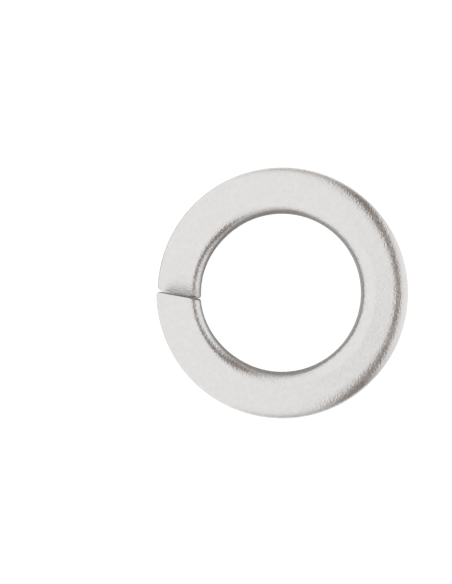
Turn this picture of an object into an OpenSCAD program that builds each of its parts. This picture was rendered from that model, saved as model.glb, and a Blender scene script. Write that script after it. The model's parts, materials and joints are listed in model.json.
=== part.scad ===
// Helical spring lock washer with plain ends, for a 24 mm bolt.
//
// It is one turn of keystone wire, coiled left-handed so that its ends bite when a
// right-hand thread starts to undo. Z is the axis of the bolt, the lower end touches
// z = 0, and the cut between the two ends is on the -X side. Counterclockwise from
// the cut, seen from above, the coil starts high and sinks by the rise in one turn.

/* [Bore and band] */
// Bore of the washer, a clearance fit on the bolt
bore_d = 24.5; // [16:0.1:60]
// Width of the band, from the bore to the outer wall
band_w = 7; // [4:0.1:14]

/* [Section] */
// Thickness at the outer wall, where coiling stretches the wire
outer_t = 4.6; // [2.5:0.1:8]
// Thickness at the bore, where coiling squeezes the wire
inner_t = 5.6; // [2.5:0.1:9]
// Width of the upper outer edge, which tumbling rounds the most
shoulder_w = 2.5; // [0.5:0.1:5]
// Height of the upper outer edge
shoulder_h = 1.2; // [0.3:0.1:3]
// Width of the upper edge at the bore
bore_edge_w = 1.9; // [0.5:0.1:4]
// Height of the upper edge at the bore
bore_edge_h = 1.4; // [0.3:0.1:3]
// Radius of the two lower corners
corner_r = 0.8; // [0.3:0.05:1.5]

/* [Coil] */
// Height that one full turn climbs, which the bolt presses flat
rise = 4.9; // [1:0.1:12]

/* [Ends] */
// Turn of the cut away from the radius, measured at mid band
cut_angle = 12; // [0:1:25]
// Lean of the cut away from the axis
cut_lean = 3; // [0:0.5:8]
// Clearance between the two parallel ends, measured level
end_gap = 0.06; // [0.05:0.01:2]
// Rounding of the ends' corners at the outer wall, seen from above
end_outer_r = 0.5; // [0.1:0.05:1.5]
// Rounding of the ends' corners at the bore, seen from above
end_inner_r = 0.35; // [0.1:0.05:1.5]

/* [Hidden] */

bore_r = bore_d / 2;
outer_r = bore_r + band_w;
mid_r = bore_r + band_w / 2;

// Degrees in the angle whose arc is as long as its radius
deg = 180 / PI;

// No edge takes more than these shares of the section's width and of the thinner wall
width_share = 0.45;
height_share = 0.35;
max_h = height_share * min(inner_t, outer_t);
// Each edge is a quarter of a superellipse: its width, height, power and steps. Power 2
// makes an ellipse, and less makes it blunter
shoulder = [shoulder_w, min(shoulder_h, max_h), 1.8, 7];
bore_edge = [bore_edge_w, min(bore_edge_h, max_h), 1.55, 7];
low_edge = [corner_r, min(corner_r, max_h), 2, 5];

// The coiled blank stands proud of both walls by this much, and they are turned off it
stock = 0.05;

// Distance between the planes of the two ends. The lean brings the ends closer by its
// share of the rise
open_w = end_gap + rise * tan(cut_lean);
// Angle left open at mid band, which keeps the two planes parallel
open_angle = cut_angle - asin(sin(cut_angle) - open_w / mid_r);
coil_angle = 360 - open_angle;
// The cut crosses mid band on the -X side, half the opening to each side of it
start_angle = 180 + open_angle / 2;

// Half the thickness between the flanks at radius r
function half_t(r) = (inner_t + (outer_t - inner_t) * (r - bore_r) / band_w) / 2;

function reversed(list) = [for (k = [len(list) - 1 : -1 : 0]) list[k]];
function mirrored(list) = [for (p = list) [p.x, -p.y]];

// Rounded edge of the section as [r, z] points, from the upper flank round to the wall
// and on into the stock. out is 1 at the outer wall and -1 at the bore, and room is the
// most width that the edge can take.
function rounded(wall_r, out, edge, room) =
    let (w = min(edge[0], room), h = edge[1], power = 2 / edge[2], steps = edge[3],
         arc = [for (k = [0 : steps - 1])
                   let (a = 90 * k / steps, r = wall_r - out * w * (1 - pow(sin(a), power)))
                   [r, half_t(r) - h * (1 - pow(cos(a), power))]],
         foot = half_t(wall_r) - h,
         last = arc[steps - 1],
         slope = (foot - last.y) / (wall_r - last.x))
    concat(arc, [[wall_r + out * stock, max(foot + out * slope * stock, foot / 2)]]);

// Keystone section between two wall radii, clockwise from its upper outer edge
function section(inner, outer) =
    let (room = width_share * (outer - inner))
    concat(rounded(outer, 1, shoulder, room),
           mirrored(reversed(rounded(outer, 1, low_edge, room))),
           mirrored(rounded(inner, -1, low_edge, room)),
           reversed(rounded(inner, -1, bore_edge, room)));

// How far a wall stands back at distance d from the end, where its corner is rounded
function set_back(round_r, d) =
    d >= round_r ? 0 : round_r - sqrt(round_r * round_r - pow(round_r - d, 2));

// Turn of the planes across the coil at angle t along it. They start parallel to one end
// and finish parallel to the other.
function cut_at(t) = cut_angle - open_angle * t / coil_angle;

// Angle by which a point of the section runs ahead of mid band, so that it lies in such
// a plane. dz is its height above mid band.
function lead(t, r, dz) =
    asin((mid_r * sin(cut_at(t)) + dz * tan(cut_lean)) / r) - cut_at(t);

// A point of the section at angle t along the coil. Its height follows its own angle,
// so each flank stays a true helix at every radius.
function on_coil(t, p) =
    let (rough = lead(t, p.x, p.y),
         ahead = lead(t, p.x, p.y - rise * rough / 360),
         a = start_angle + t + ahead)
    [p.x * cos(a), p.x * sin(a), p.y - rise * (t + ahead) / 360];

// Places along the coil, closer together where the corners of the ends are rounded
coil_steps = 118;
end_steps = 3;
end_r = max(end_outer_r, end_inner_r);
end_angle = end_r / mid_r * deg;
end_places = [for (k = [0 : end_steps - 1]) end_angle * (1 - cos(90 * k / end_steps))];
places = concat(
    end_places,
    [for (k = [0 : coil_steps]) end_angle + (coil_angle - 2 * end_angle) * k / coil_steps],
    reversed([for (t = end_places) coil_angle - t]));

rings = [for (t = places)
    let (d = min(t, coil_angle - t) / deg * mid_r)
    [for (p = section(bore_r + set_back(end_inner_r, d), outer_r - set_back(end_outer_r, d)))
        on_coil(t, p)]];
ring_size = len(rings[0]);

// The lowest point of the coil is set on z = 0
low_z = min([for (ring = rings) min([for (p = ring) p.z])]);
high_z = max([for (ring = rings) max([for (p = ring) p.z])]);
free_h = high_z - low_z;

// Keystone wire swept round the coil, with a plane end at each side of the cut
module blank() {
    last = len(rings) - 1;
    polyhedron(
        points = [for (ring = rings, p = ring) [p.x, p.y, p.z - low_z]],
        faces = concat(
            [[for (j = [0 : ring_size - 1]) j]],
            [for (i = [0 : last - 1], j = [0 : ring_size - 1])
                let (n = (j + 1) % ring_size, here = i * ring_size, next = here + ring_size)
                each [[here + n, here + j, next + j], [here + n, next + j, next + n]]],
            [[for (j = [ring_size - 1 : -1 : 0]) last * ring_size + j]]));
}

// Everything between the bore and the outer wall, and a little past both flanks
past = 1;
wall_facets = 180;

module wall_band() {
    rotate_extrude($fn = wall_facets)
        translate([bore_r, -past]) square([band_w, free_h + 2 * past]);
}

module lock_washer() {
    color("silver")
        intersection() {
            blank();
            wall_band();
        }
}

lock_washer();
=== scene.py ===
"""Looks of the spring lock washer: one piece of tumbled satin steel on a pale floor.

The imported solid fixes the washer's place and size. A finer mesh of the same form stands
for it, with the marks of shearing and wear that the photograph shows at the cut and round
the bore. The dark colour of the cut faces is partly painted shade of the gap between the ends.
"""

import json
import math

import bpy
import numpy as np
from mathutils import Matrix, Vector


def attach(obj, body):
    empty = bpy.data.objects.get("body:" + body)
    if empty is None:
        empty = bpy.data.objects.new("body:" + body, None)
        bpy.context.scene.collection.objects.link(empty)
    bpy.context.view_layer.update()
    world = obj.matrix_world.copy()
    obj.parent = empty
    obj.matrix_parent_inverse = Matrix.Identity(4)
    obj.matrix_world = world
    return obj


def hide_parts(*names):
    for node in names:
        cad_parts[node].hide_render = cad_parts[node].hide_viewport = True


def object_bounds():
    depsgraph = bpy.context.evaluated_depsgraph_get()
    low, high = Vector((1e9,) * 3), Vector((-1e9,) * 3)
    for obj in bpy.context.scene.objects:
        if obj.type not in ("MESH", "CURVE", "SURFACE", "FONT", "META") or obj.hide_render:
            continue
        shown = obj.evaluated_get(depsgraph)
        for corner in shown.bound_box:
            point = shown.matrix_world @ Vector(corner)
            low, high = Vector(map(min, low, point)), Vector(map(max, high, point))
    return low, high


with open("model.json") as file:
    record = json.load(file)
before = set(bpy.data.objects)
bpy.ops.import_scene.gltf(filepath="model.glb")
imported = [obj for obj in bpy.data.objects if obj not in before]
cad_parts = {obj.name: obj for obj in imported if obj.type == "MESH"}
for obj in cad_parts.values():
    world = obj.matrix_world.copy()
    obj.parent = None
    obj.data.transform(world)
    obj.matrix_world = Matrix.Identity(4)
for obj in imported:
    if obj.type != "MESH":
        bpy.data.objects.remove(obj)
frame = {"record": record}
cad_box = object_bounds()

MM = 0.001

# Sizes taken from the frame
mounts = {m["name"]: m for m in frame["record"]["mounts"]}
BORE_R = mounts["bore"]["dims"]["r_mm"] * MM
OUTER_R = (cad_box[1].x - cad_box[0].x) / 2
FREE_H = cad_box[1].z - cad_box[0].z

# Sizes of the part's source, repeated here because the frame doesn't hold them. An edge
# is its width, its height and its power, as in corner_points()
OUTER_T = 4.6 * MM
INNER_T = 5.6 * MM
SHOULDER = (2.5 * MM, 1.2 * MM, 1.8)
INNER_EDGE = (1.9 * MM, 1.4 * MM, 1.55)
CORNER = (0.8 * MM, 0.8 * MM, 2)
RISE = 4.9 * MM
CUT_ANGLE = 12.0
# The cut leans less here and is narrower, as the photograph's thin line asks
CUT_LEAN = 2.2
END_GAP = 0.02 * MM
END_OUTER_R = 0.5 * MM
END_INNER_R = 0.35 * MM

# The photograph's frame, and where the washer stands in it
IMAGE_W, IMAGE_H = 452, 584
WASHER_X, WASHER_Y = 282.3, 292.4
WASHER_PX = 250.0
CAMERA_DISTANCE = 0.259
VIEW_TILT = -1.9
VIEW_ROLL = -1.4
SENSOR_W = 36.0
NEAR_CLIP = 10 * MM


def empty_tree(owner):
    """The node tree of a material or world, cleared."""
    owner.use_nodes = True
    owner.node_tree.nodes.clear()
    return owner.node_tree


def add_node(tree, kind, inputs, **settings):
    """A shader node. Each of its inputs is a constant or another node's output."""
    node = tree.nodes.new("ShaderNode" + kind)
    for name, value in settings.items():
        setattr(node, name, value)
    for key, value in inputs.items():
        if isinstance(value, bpy.types.NodeSocket):
            tree.links.new(value, node.inputs[key])
        else:
            node.inputs[key].default_value = value
    return node


def object_coords(tree):
    return add_node(tree, "TexCoord", {}).outputs["Object"]


def noise(tree, coords, scale, detail=2.0):
    """A noise texture. Its scale is features per metre."""
    node = add_node(tree, "TexNoise", {"Vector": coords, "Scale": scale, "Detail": detail})
    return node.outputs["Fac"]


def map_range(tree, value, low, high, to_low=0, to_high=1):
    """Maps a value's range onto another, clamped."""
    inputs = {"Value": value, "From Min": low, "From Max": high}
    inputs.update({"To Min": to_low, "To Max": to_high})
    return add_node(tree, "MapRange", inputs).outputs["Result"]


# Most of a noise texture's values lie between these
NOISE_LOW, NOISE_HIGH = 0.3, 0.7


def noise_between(tree, coords, scale, low, high):
    """Noise spread over the range from low to high."""
    return map_range(tree, noise(tree, coords, scale), NOISE_LOW, NOISE_HIGH, low, high)


def ramp(tree, factor, low, high):
    """A colour that runs from low to high with the factor."""
    node = add_node(tree, "ValToRGB", {"Fac": factor})
    node.color_ramp.elements[0].color = (*low, 1)
    node.color_ramp.elements[1].color = (*high, 1)
    return node.outputs["Color"]


def mix_colour(tree, factor, a, b):
    """Colour a where the factor is 0 and b where it is 1."""
    node = add_node(tree, "Mix", {}, data_type="RGBA")
    for name, value in (("Factor", factor), ("A", a), ("B", b)):
        if isinstance(value, bpy.types.NodeSocket):
            tree.links.new(value, node.inputs[name])
        else:
            node.inputs[name].default_value = (*value, 1)
    return node.outputs["Result"]


def bump(tree, height, depth):
    """Normals of a relief of the given depth."""
    inputs = {"Height": height, "Strength": 1.0, "Distance": depth}
    return add_node(tree, "Bump", inputs).outputs["Normal"]


def calculate(tree, operation, *values):
    """The result of a Math node on up to three values."""
    return add_node(tree, "Math", dict(enumerate(values)), operation=operation).outputs[0]


def spot(tree, direction, side, spread):
    """1 within the smaller spread of a direction and 0 beyond the larger one.

    The side is an azimuth from +X and a height above the horizon.
    """
    azimuth, height = math.radians(side[0]), math.radians(side[1])
    aim = (
        math.cos(azimuth) * math.cos(height),
        math.sin(azimuth) * math.cos(height),
        math.sin(height),
    )
    near = add_node(tree, "VectorMath", {0: direction, 1: aim}, operation="DOT_PRODUCT")
    wide, tight = (math.cos(math.radians(a)) for a in spread)
    return map_range(tree, near.outputs["Value"], wide, tight)


# Tumbled steel. Scales are features per metre
TINT_LOW, TINT_HIGH = (0.782, 0.769, 0.760), (0.818, 0.808, 0.798)
TINT_SCALE = 1300
GLOSS_LOW, GLOSS_HIGH = 0.26, 0.31
GLOSS_SCALE = 1500
GRAIN_DEPTH = 0.034 * MM
GRAIN_SCALE, GRAIN_DETAIL = 3700, 0.2
# The mesh holds how dull each point is. The steel is this rough where it is fully dull
DULLED = "dulled"
DULL_ROUGHNESS = 0.42


def steel_material():
    """Tumbled spring steel: bright warm grey, fine grain with no direction."""
    material = bpy.data.materials.new("tumbled_steel")
    tree = empty_tree(material)
    coords = object_coords(tree)
    tint = ramp(tree, noise_between(tree, coords, TINT_SCALE, 0, 1), TINT_LOW, TINT_HIGH)
    dulled = add_node(tree, "Attribute", {}, attribute_name=DULLED).outputs["Fac"]
    plain = noise_between(tree, coords, GLOSS_SCALE, GLOSS_LOW, GLOSS_HIGH)
    gloss = add_node(tree, "Mix", {"Factor": dulled, "A": plain, "B": DULL_ROUGHNESS})
    grain = bump(tree, noise(tree, coords, GRAIN_SCALE, GRAIN_DETAIL), GRAIN_DEPTH)
    inputs = {"Base Color": tint, "Metallic": 1.0, "Normal": grain}
    inputs["Roughness"] = gloss.outputs["Result"]
    shader = add_node(tree, "BsdfPrincipled", inputs)
    add_node(tree, "OutputMaterial", {"Surface": shader.outputs["BSDF"]})
    return material


# Sheared steel, torn along the axis. Its dark colour is partly the duller steel of the cut and
# partly painted shade of the narrow gap between the two ends
SHEARED_AND_SHADED_LOW, SHEARED_AND_SHADED_HIGH = (0.18, 0.168, 0.155), (0.28, 0.262, 0.245)
SHEAR_SCALE = 1400
SHEAR_ROUGH_LOW, SHEAR_ROUGH_HIGH = 0.7, 0.85
SHEAR_ROUGH_SCALE = 2000
TORN_DEPTH = 0.08 * MM
TORN_SCALE, TORN_DETAIL = 3000, 3.0
TORN_STRETCH = (1, 1, 0.12)


def sheared_material():
    """The cut faces: duller and rougher steel, torn by the shears across the wire, coloured dark
    partly with painted shade of the gap between the ends.
    """
    material = bpy.data.materials.new("sheared_steel_and_painted_shade")
    tree = empty_tree(material)
    coords = object_coords(tree)
    # Painted shade: the cut's dark tone stands partly for the shade in the gap between the ends
    tint = ramp(tree, noise(tree, coords, SHEAR_SCALE, TORN_DETAIL), SHEARED_AND_SHADED_LOW, SHEARED_AND_SHADED_HIGH)
    rough = noise_between(tree, coords, SHEAR_ROUGH_SCALE, SHEAR_ROUGH_LOW, SHEAR_ROUGH_HIGH)
    stretched = add_node(tree, "Mapping", {"Vector": coords, "Scale": TORN_STRETCH})
    streaks = noise(tree, stretched.outputs["Vector"], TORN_SCALE, TORN_DETAIL)
    inputs = {"Base Color": tint, "Metallic": 0.0, "Roughness": rough}
    inputs["Normal"] = bump(tree, streaks, TORN_DEPTH)
    shader = add_node(tree, "BsdfPrincipled", inputs)
    add_node(tree, "OutputMaterial", {"Surface": shader.outputs["BSDF"]})
    return material


# The floor's colour, and its glow where the camera and where the steel's mirror see it
FLOOR_LOW, FLOOR_HIGH = (0.465, 0.457, 0.448), (0.485, 0.477, 0.468)
FLOOR_SCALE = 6
CAMERA_LIFT = 0.80
GLOSSY_LIFT = 0.6
# The mirrored glow grows from none to full between these distances from a point on X. That
# is a painted shadow of the washer on the floor, seen only in the steel's mirror
SHADE_FROM, SHADE_TO = 13 * MM, 28 * MM
SHADE_X = -5 * MM
# It is also gone on the far floor at both sides of +X, as painted dark patches seen in the
# steel. Sides are as in spot()
FLOOR_SIDES = ((-64, 0), (68, 0))
FLOOR_SPREAD = (48, 22)
FAR_FROM, FAR_TO = 32 * MM, 70 * MM


def floor_glow(tree, coords):
    """Strength of the floor's glow, for the camera and, with painted shadow and painted dark
    patches, for mirrored rays.
    """
    rays = add_node(tree, "LightPath", {}).outputs
    centre = (SHADE_X, 0, 0)
    away = add_node(tree, "VectorMath", {0: coords, 1: centre}, operation="DISTANCE")
    # Painted shadow of the washer in the glow that the steel mirrors
    outside_painted_shadow = map_range(tree, away.outputs["Value"], SHADE_FROM, SHADE_TO)
    mirrored = calculate(tree, "ADD", rays["Is Glossy Ray"], rays["Is Transmission Ray"])
    mirrored = calculate(tree, "MULTIPLY", mirrored, outside_painted_shadow)

    toward = add_node(tree, "VectorMath", {0: coords}, operation="NORMALIZE").outputs["Vector"]
    reach = add_node(tree, "VectorMath", {0: coords}, operation="LENGTH").outputs["Value"]
    # Painted dark patches on the far floor at both sides of +X, for the steel's mirror
    far = map_range(tree, reach, FAR_FROM, FAR_TO)
    for side in FLOOR_SIDES:
        dim = calculate(tree, "MULTIPLY", spot(tree, toward, side, FLOOR_SPREAD), far)
        mirrored = calculate(tree, "MULTIPLY", mirrored, calculate(tree, "SUBTRACT", 1, dim))

    seen = calculate(tree, "MULTIPLY", rays["Is Camera Ray"], CAMERA_LIFT)
    return calculate(tree, "MULTIPLY_ADD", mirrored, GLOSSY_LIFT, seen)


def floor_material():
    """A pale matt floor that shows white where nothing shades it, with painted shade in its
    mirrored glow.
    """
    material = bpy.data.materials.new("pale_floor")
    tree = empty_tree(material)
    coords = object_coords(tree)
    tone = ramp(tree, noise(tree, coords, FLOOR_SCALE), FLOOR_LOW, FLOOR_HIGH)
    diffuse = add_node(tree, "BsdfDiffuse", {"Color": tone})
    glow = add_node(tree, "Emission", {"Strength": floor_glow(tree, coords)})
    both = {0: diffuse.outputs["BSDF"], 1: glow.outputs["Emission"]}
    surface = add_node(tree, "AddShader", both)
    add_node(tree, "OutputMaterial", {"Surface": surface.outputs["Shader"]})
    return material


# The section lies in the plane of the bore's axis, and is swept along the coil
MID_R = (BORE_R + OUTER_R) / 2
CUT = math.radians(CUT_ANGLE)
LEAN = math.tan(math.radians(CUT_LEAN))
OPENING = CUT - math.asin(math.sin(CUT) - (END_GAP + RISE * LEAN) / MID_R)
COIL_TURN = 2 * math.pi - OPENING
START = math.pi + OPENING / 2

# Points of the section
CORNER_POINTS = 18
FLANK_POINTS = 14
WALL_POINTS = 6


def half_thickness(r):
    """Half the distance between the flanks at radius r."""
    share = (r - BORE_R) / (OUTER_R - BORE_R)
    return (INNER_T + (OUTER_T - INNER_T) * share) / 2


def corner_points(wall_r, out, width, height, power):
    """Rounded corner of the section, from the flank round to the wall.

    It is a superellipse, width by height: power 2 is an ellipse and less is blunter.
    """
    turn = np.linspace(0, math.pi / 2, CORNER_POINTS)
    r = wall_r - out * width * (1 - np.sin(turn) ** (2 / power))
    drop = height * (1 - np.abs(np.cos(turn)) ** (2 / power))
    return np.stack([r, half_thickness(r) - drop], 1)


def between(a, b, count):
    """Points on the straight stretch from a to b, without its two ends."""
    steps = np.linspace(0, 1, count + 2)[1:-1, None]
    return a + (b - a) * steps


def section(inner, outer, low_back, high_back):
    """The closed keystone section as (r, z) points, clockwise from its upper flank.

    The bore's wall stands back by low_back at its lower edge and high_back at its upper.
    """
    flip = np.array([1, -1])
    width, height, power = INNER_EDGE
    far = corner_points(outer, 1, *SHOULDER)
    left = 1 - high_back / width
    near = corner_points(inner + high_back, -1, width * left, height * left, power)
    low_far = corner_points(outer, 1, *CORNER) * flip
    low_near = corner_points(inner + low_back, -1, *CORNER) * flip
    return np.concatenate(
        [
            between(near[0], far[0], FLANK_POINTS),
            far,
            between(far[-1], low_far[-1], WALL_POINTS),
            low_far[::-1],
            between(low_far[0], low_near[0], FLANK_POINTS),
            low_near,
            between(low_near[-1], near[-1], WALL_POINTS),
            near[::-1],
        ]
    )


def set_back(depth, length, d):
    """How far a rounded corner, depth by length, stands back at distance d from the end."""
    left = 1 - min(d / length, 1)
    return depth * (1 - math.sqrt(1 - left**2))


# The real bore isn't quite round. It opens towards the cut, most at the cut itself
SPRUNG_BACK = 0.34 * MM
SPRUNG_REACH = math.radians(60)
# Further along, its upper edge stands back too, on the side of the high and the low end.
# That grows from the cut to the first angle, and fades between the two others
HIGH_LEAN, LOW_LEAN = 0.22 * MM, 0.32 * MM
LEAN_FROM = math.radians(70)
LEAN_REACH = (math.radians(95), math.radians(125))


def fade(value, start, end):
    """Falls smoothly from 1 at start to 0 at end."""
    share = min(max((value - start) / (end - start), 0), 1)
    return (1 + math.cos(math.pi * share)) / 2


def shrink(points, depth):
    """Moves the points of a closed section inwards by depth."""
    along = np.roll(points, -1, 0) - np.roll(points, 1, 0)
    inward = np.stack([along[:, 1], -along[:, 0]], 1)
    return points + depth * inward / np.linalg.norm(inward, axis=1)[:, None]


def lead(turn, r, dz):
    """Angle by which a point runs ahead of mid band, so that it lies parallel to the cut."""
    cut = CUT - OPENING * turn / COIL_TURN
    return np.arcsin((MID_R * math.sin(cut) + dz * LEAN) / r) - cut


def on_coil(turn, points):
    """Section points set on the coil at an angle along it. z is from the coil's start."""
    r, dz = points[:, 0], points[:, 1]
    rough = lead(turn, r, dz)
    ahead = lead(turn, r, dz - RISE * rough / (2 * math.pi))
    angle = START + turn + ahead
    z = dz - RISE * (turn + ahead) / (2 * math.pi)
    return np.stack([r * np.cos(angle), r * np.sin(angle), z], 1)


# Rings along the coil, and more of them at each end
COIL_STEPS = 640
END_STEPS = 6
# The edges of the end faces are broken by this much
EDGE_R = 0.05 * MM
# The finer mesh stays this far inside the solid, so that its box does too
INSET = 0.005 * MM
# The shears drag the low end's upper flank down by this much over this length
DRAG_DEPTH = 0.01 * MM
DRAG_LENGTH = 2.0 * MM
# They also leave its last stretch duller, most at the cut
DULL_LENGTH = 3.2 * MM
# Wear of the low end's outer corner, across the band and along it
WORN_CORNER = (1.3 * MM, 0.45 * MM)


def coil_places():
    """Angles of the rings along the coil, closer together at the two rounded ends."""
    end_turn = max(END_OUTER_R, END_INNER_R, WORN_CORNER[1]) / MID_R
    near = end_turn * (1 - np.cos(np.linspace(0, math.pi / 2, END_STEPS + 1)[:-1]))
    body = np.linspace(end_turn, COIL_TURN - end_turn, COIL_STEPS)
    return np.concatenate([near, body, COIL_TURN - near[::-1]])


def ring_points():
    """All the washer's rings, one row for each place along the coil."""
    rings = []
    for turn in coil_places():
        high_d, low_d = turn * MID_R, (COIL_TURN - turn) * MID_R
        d = min(high_d, low_d)
        away = d / MID_R
        low_back = SPRUNG_BACK * fade(away, 0, SPRUNG_REACH)
        lean = HIGH_LEAN if high_d < low_d else LOW_LEAN
        lean_back = lean * (1 - fade(away, 0, LEAN_FROM)) * fade(away, *LEAN_REACH)
        points = section(
            BORE_R + set_back(END_INNER_R, END_INNER_R, d),
            OUTER_R - set_back(END_OUTER_R, END_OUTER_R, high_d),
            low_back,
            low_back + lean_back,
        )
        points[:, 0] = np.minimum(points[:, 0], OUTER_R - set_back(*WORN_CORNER, low_d))
        drag = DRAG_DEPTH * (1 - min(low_d / DRAG_LENGTH, 1)) ** 2
        points[:, 1] -= drag * np.clip(points[:, 1] / half_thickness(points[:, 0]), 0, 1)
        rings.append(on_coil(turn, shrink(points, INSET + set_back(EDGE_R, EDGE_R, d))))
    rings = np.array(rings)
    rings[:, :, 2] += cad_box[0].z + INSET - rings[:, :, 2].min()
    return rings


# Loops of faces in an end face
CAP_LOOPS = 10


def cap_points(rim):
    """Loops of points that fill an end face, from its rim to its middle."""
    middle = rim.mean(0)
    shares = np.linspace(1, 0, CAP_LOOPS + 1)[1:-1]
    return [middle + (rim - middle) * s for s in shares], middle


def skin_quads(count, size):
    """Faces between one ring of points and the next."""
    faces = []
    for i in range(count - 1):
        here, ahead = i * size, (i + 1) * size
        for j in range(size):
            n = (j + 1) % size
            faces.append((here + n, here + j, ahead + j, ahead + n))
    return faces


def add_cap(points, faces, first, rim, order):
    """Closes an end with loops of faces. The points of its rim start at first.

    The order is 1 or -1, for the way round that the faces turn.
    """
    size = len(rim)
    loops, middle = cap_points(rim)
    outer = list(range(first, first + size))
    for loop in loops:
        inner = list(range(len(points), len(points) + size))
        points.extend(tuple(p) for p in loop)
        for j in range(size):
            n = (j + 1) % size
            faces.append((outer[j], outer[n], inner[n], inner[j])[::order])
        outer = inner
    points.append(tuple(middle))
    for j in range(size):
        faces.append((outer[j], outer[(j + 1) % size], len(points) - 1)[::order])


def build_washer():
    """The washer as one closed mesh, and how many faces come before its two ends."""
    rings = ring_points()
    count, size = rings.shape[:2]
    points = [tuple(p) for p in rings.reshape(-1, 3)]
    faces = skin_quads(count, size)
    skin = len(faces)
    add_cap(points, faces, 0, rings[0], 1)
    add_cap(points, faces, (count - 1) * size, rings[-1], -1)
    mesh = bpy.data.meshes.new("washer_skin")
    mesh.from_pydata(points, [], faces)
    mesh.polygons.foreach_set("use_smooth", [True] * len(mesh.polygons))
    near_cut = [fade((COIL_TURN - turn) * MID_R, 0, DULL_LENGTH) for turn in coil_places()]
    dulled = np.zeros(len(points))
    dulled[: count * size] = np.repeat(near_cut, size)
    mesh.attributes.new(DULLED, "FLOAT", "POINT").data.foreach_set("value", dulled)
    mesh.validate()
    mesh.update()
    washer = bpy.data.objects.new("washer_skin", mesh)
    bpy.context.collection.objects.link(washer)
    return washer, skin


FLOOR_HALF = 1.5


def build_floor():
    """A wide pale floor under the washer's lowest point."""
    corners = ((-1, -1), (1, -1), (1, 1), (-1, 1))
    points = [(FLOOR_HALF * x, FLOOR_HALF * y, cad_box[0].z) for x, y in corners]
    mesh = bpy.data.meshes.new("floor")
    mesh.from_pydata(points, [], [(0, 1, 2, 3)])
    mesh.materials.append(floor_material())
    floor = bpy.data.objects.new("floor", mesh)
    bpy.context.collection.objects.link(floor)
    return floor


def build_camera():
    """A camera above the washer, tilted toward +X, that keeps the photograph's framing."""
    pixel = 2 * OUTER_R / WASHER_PX
    across = (WASHER_X - IMAGE_W / 2) * pixel
    down = (WASHER_Y - IMAGE_H / 2) * pixel
    turn = Matrix.Rotation(math.radians(VIEW_TILT) + math.atan(across / CAMERA_DISTANCE), 3, "Y")
    middle = Vector((0, 0, cad_box[0].z + FREE_H / 2))
    data = bpy.data.cameras.new("camera")
    data.sensor_width = SENSOR_W
    data.lens = data.sensor_width * CAMERA_DISTANCE / (IMAGE_H * pixel)
    data.clip_start = NEAR_CLIP
    camera = bpy.data.objects.new("camera", data)
    turn = Matrix.Rotation(math.radians(VIEW_ROLL), 3, "Z") @ turn
    camera.matrix_world = Matrix.Translation(
        middle + turn @ Vector((-across, down, CAMERA_DISTANCE))
    ) @ turn.to_4x4()
    bpy.context.collection.objects.link(camera)
    bpy.context.scene.camera = camera


# Colours and levels of the studio
WHITE = (1, 1, 1)
SKY = (0.95, 0.95, 0.95)
DARK_LEVEL = 0.085
DARK_HUE = (1.5, 1, 0.72)
LOW_HUE = (1.04, 1, 0.94)
# Sides and spreads are as in spot()
DARK_SIDE = (0, -10)
DARK_SPREAD = (73.8, 68.8)
PANEL_SIDE = (0, 0)
PANEL_SPREAD = (44, 40)
# Each of the greyer sides low down, with its level
LOW_SIDES = (((-80, 0), 0.6), ((76, 0), 0.55))
LOW_SPREAD = (30, 6)


def tinted(level, hue):
    """A colour at a plain level."""
    return tuple(level * share for share in hue)


def build_world():
    """An even white studio, dark on its right round a bright panel.

    The camera itself sees plain white.
    """
    world = bpy.data.worlds.new("studio")
    tree = empty_tree(world)
    direction = add_node(tree, "TexCoord", {}).outputs["Generated"]
    dark = spot(tree, direction, DARK_SIDE, DARK_SPREAD)
    sky = mix_colour(tree, dark, SKY, tinted(DARK_LEVEL, DARK_HUE))
    for side, level in LOW_SIDES:
        low = spot(tree, direction, side, LOW_SPREAD)
        sky = mix_colour(tree, low, sky, tinted(level, LOW_HUE))
    panel = spot(tree, direction, PANEL_SIDE, PANEL_SPREAD)
    sky = mix_colour(tree, panel, sky, SKY)
    seen = add_node(tree, "LightPath", {}).outputs["Is Camera Ray"]
    background = add_node(tree, "Background", {"Color": mix_colour(tree, seen, sky, WHITE)})
    add_node(tree, "OutputWorld", {"Surface": background.outputs["Background"]})
    bpy.context.scene.world = world


def set_view():
    """The plain Standard view transform."""
    bpy.context.scene.view_settings.view_transform = "Standard"


washer, skin_faces = build_washer()
washer.data.materials.append(steel_material())
washer.data.materials.append(sheared_material())
for face in washer.data.polygons[skin_faces:]:
    face.material_index = 1
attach(washer, "root")
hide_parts("lock_washer")

floor = build_floor()

build_camera()
build_world()
set_view()
